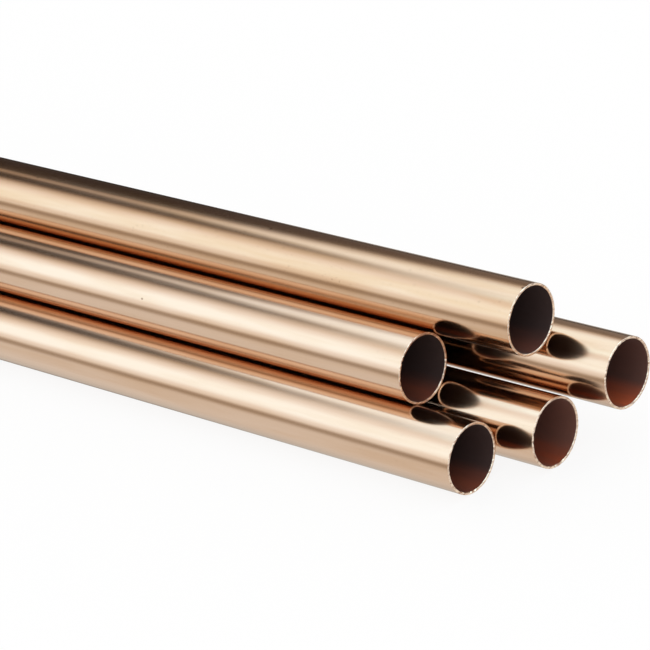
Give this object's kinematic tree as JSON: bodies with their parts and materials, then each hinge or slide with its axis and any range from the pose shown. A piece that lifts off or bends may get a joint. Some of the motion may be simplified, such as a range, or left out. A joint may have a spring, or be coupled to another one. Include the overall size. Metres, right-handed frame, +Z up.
{
  "type": "copper tube stack",
  "caption": "Small stack of straight, thin-walled copper tubes with open, square-cut ends: cut lengths of hard-drawn tube for water and heating pipework.",
  "frame": {"origin": "on the floor, under the middle of the stack: halfway between the foremost mouth and the rearmost far end, and halfway across", "axes": "+X runs along the tubes towards the staggered mouths that the picture shows, +Y runs across the stack to its rear, +Z is up"},
  "size_m": [1.069, 0.0774, 0.071],
  "materials": {
    "copper": "bright drawn copper, polished along its length"
  },
  "bodies": {
    "root": {"lower_front_tube": "copper", "lower_rear_tube": "copper", "middle_front_tube": "copper", "middle_rear_tube": "copper", "top_tube": "copper"}
  },
  "joints": []
}
